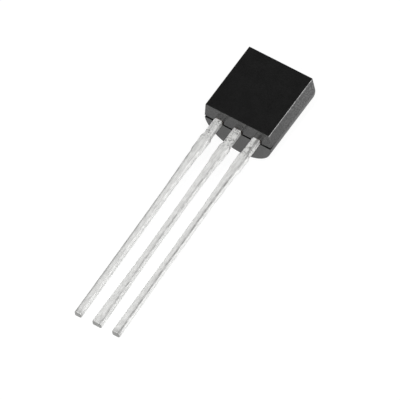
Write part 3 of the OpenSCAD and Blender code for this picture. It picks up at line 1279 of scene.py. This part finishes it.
        # Painted shade lines at the right and left edges, a fine dark line on the neck and the painted
        # shade under the body; the left line also places the painted highlight.
        right_line = bell(way - line, self.line_w) * at_right
        left_line = bell(way - self.line_w, self.line_w) * at_left
        neck_line = bell(way - self.neck_line_way, self.neck_line_w) * at_left
        shade = bell(way - line - self.shade_way, self.shade_w) * at_right
        down = {
            "right": np.interp(s, *look.right),
            "left": np.interp(s, *look.left),
            "pale": np.interp(s, *look.pale),
            "neck": look.neck * np.interp(s, *self.neck_line),
            "top": look.top * bell(s - self.shade_s, self.shade_len),
        }
        down = {name: strength[:, None] for name, strength in down.items()}
        dull = right_line * down["right"] + left_line * down["left"]
        dull = dull + neck_line * down["neck"] + shade * down["top"]
        return dull, left_line * down["pale"]


# ---------------------------------------------------------------- the studio


def bearing(azimuth_deg: float, elevation_deg: float) -> Vector:
    """A direction as a unit vector: azimuth 0 is towards -Y and 90 towards +X."""
    a, e = math.radians(azimuth_deg), math.radians(elevation_deg)
    return Vector((math.sin(a) * math.cos(e), -math.cos(a) * math.cos(e), math.sin(e)))


@dataclass(frozen=True)
class Lamp:
    """A square soft lamp that looks at the part. Its side and distance are in metres."""

    name: str
    azimuth_deg: float
    elevation_deg: float
    size: float
    watts: float
    distance: float = 0.5

    def build(self) -> bpy.types.Object:
        """Makes the lamp.

        Returns:
            The lamp's object.
        """
        back = bearing(self.azimuth_deg, self.elevation_deg)
        data = bpy.data.lights.new(self.name, "AREA")
        data.shape, data.size, data.energy = "SQUARE", self.size, self.watts
        lamp = bpy.data.objects.new(self.name, data)
        turn = (-back).to_track_quat("-Z", "Y").to_matrix()
        lamp.matrix_world = Matrix.Translation(back * self.distance) @ turn.to_4x4()
        bpy.context.scene.collection.objects.link(lamp)
        return lamp


KEY_LAMP = Lamp("key", azimuth_deg=30, elevation_deg=56, size=0.3, watts=2.9)
SIDE_LAMP = Lamp("side", azimuth_deg=112, elevation_deg=30, size=0.45, watts=0.35)


@dataclass
class Studio:
    """A pale floor, soft lamps and the camera.

    overhead is how bright the room is above the horizon's span. The veil is the share of plain
    white that the floor shows to the eye, and the glossy veil the share in reflections.
    """

    place: RestFrame
    lamps: tuple[Lamp, ...] = (KEY_LAMP, SIDE_LAMP)
    floor_size: float = 8.0
    floor_color: float = 0.8
    floor_roughness: float = 0.9
    azimuth_deg: float = 32.84
    elevation_deg: float = 51.96
    roll_deg: float = 0.19
    distance: float = 0.9
    px_per_mm: float = 17.72
    image_px: float = 400.0
    origin_px: tuple[float, float] = (236.5, 120.9)
    sensor_mm: float = 36.0
    horizon: Span = (0.05, 0.35)
    overhead: float = 0.08
    veil: float = 0.82
    veil_strength: float = 1.09
    glossy_veil: float = 0.6

    def camera(self) -> bpy.types.Object:
        """Makes the camera: a long lens whose view puts the moulding's origin at its pixel.

        Returns:
            The camera's object.
        """
        back = bearing(self.azimuth_deg, self.elevation_deg)
        roll = Matrix.Rotation(math.radians(self.roll_deg), 3, "Z")
        turn = (-back).to_track_quat("-Z", "Y").to_matrix() @ roll
        right, up = turn.col[0], turn.col[1]
        middle = self.image_px / 2
        aim = Vector(self.place.origin)
        aim -= right * ((self.origin_px[0] - middle) / self.px_per_mm * MM)
        aim += up * ((self.origin_px[1] - middle) / self.px_per_mm * MM)
        data = bpy.data.cameras.new("camera")
        data.sensor_width = self.sensor_mm
        data.lens = self.sensor_mm * self.distance / (self.image_px / self.px_per_mm * MM)
        data.clip_start, data.clip_end = 0.01, 20.0
        camera = bpy.data.objects.new("camera", data)
        camera.matrix_world = Matrix.Translation(aim + back * self.distance) @ turn.to_4x4()
        bpy.context.scene.collection.objects.link(camera)
        bpy.context.scene.camera = camera
        return camera

    def floor(self) -> bpy.types.Object:
        """Makes the floor: white to the eye and in reflections, and grey where the part shades it.

        Returns:
            The floor's object.
        """
        half = self.floor_size / 2
        corners = [(-half, -half, 0), (half, -half, 0), (half, half, 0), (-half, half, 0)]
        mesh = bpy.data.meshes.new("floor")
        mesh.from_pydata(corners, [], [(0, 1, 2, 3)])
        floor = bpy.data.objects.new("floor", mesh)
        bpy.context.scene.collection.objects.link(floor)
        material, tree, shader = start_material("pale_floor")
        shader.inputs["Base Color"].default_value = grey(self.floor_color)
        shader.inputs["Roughness"].default_value = self.floor_roughness
        shader.inputs["Specular IOR Level"].default_value = 0.0
        path = tree.add("LightPath").outputs
        seen = tree.math("MAXIMUM", path["Is Camera Ray"], path["Is Transmission Ray"])
        mirrored = tree.times(path["Is Glossy Ray"], self.glossy_veil)
        share = tree.math("MAXIMUM", tree.times(seen, self.veil), mirrored)
        white = tree.add("Emission", Color=grey(1.0), Strength=self.veil_strength)
        mixed = tree.add("MixShader", Fac=share, in1=shader.outputs[0], in2=white.outputs[0])
        tree.feed(mixed.outputs[0], material.node_tree.nodes["Material Output"].inputs["Surface"])
        mesh.materials.append(material)
        return floor

    def world(self) -> None:
        """Lights the room: white at the horizon and below it, and dim overhead."""
        world = bpy.data.worlds.new("room")
        bpy.context.scene.world = world
        world.use_nodes = True
        tree = NodeTree(world.node_tree)
        direction = tree.add("TexCoord").outputs["Generated"]
        height = tree.add("SeparateXYZ", Vector=direction).outputs["Z"]
        tone = tree.ramp(height, self.horizon, (1.0, self.overhead))
        tone = tree.math("MAXIMUM", tone, tree.add("LightPath").outputs["Is Camera Ray"])
        background = world.node_tree.nodes["Background"]
        tree.feed(tone, background.inputs["Strength"])
        tree.feed(grey(1.0), background.inputs["Color"])

    def build(self) -> None:
        """Makes the camera, the floor, the room and the lamps."""
        self.camera()
        self.floor()
        self.world()
        for lamp in self.lamps:
            lamp.build()


# ---------------------------------------------------------------- the whole


def dress_node(name: str, material: bpy.types.Material) -> None:
    """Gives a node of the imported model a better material.

    Args:
        name: the node's name.
        material: its finish.
    """
    node = frame["nodes"][name]
    for slot in node.material_slots:
        slot.material = material
    if not node.material_slots:
        node.data.materials.append(material)
    LOG.info("dressed %s in %s", name, material.name)


def main() -> None:
    """Builds the sensor piece by piece, and the studio round it."""
    logging.basicConfig(level=logging.INFO, format="%(name)s: %(message)s")
    scene = bpy.context.scene
    scene.view_settings.view_transform = "Standard"
    sizes = LeadSizes()
    body = MouldedBody(sizes)
    place = RestFrame.from_record(frame["record"], body.height)
    groups = Groups.build()

    piece = body.build(place, MouldingFinish().material(groups))
    LOG.info("%s: %d vertices", piece.name, len(piece.data.vertices))
    tin = TinFinish().material(groups)
    sheet_y = body.lead_front + sizes.thickness / 2
    for side in LeadSide:
        piece = Lead(side, sizes, sheet_y).build(place, tin)
        LOG.info("%s: %d vertices", piece.name, len(piece.data.vertices))
    dress_node("sensor_die", SILICON.material(groups))
    dress_node("die_attach", SILVER_GLUE.material(groups))
    gold = GOLD.material(groups)
    for side in LeadSide:
        dress_node(f"bond_wire_{side.name.lower()}", gold)
    Studio(place).build()


if __name__ == "__main__":
    main()
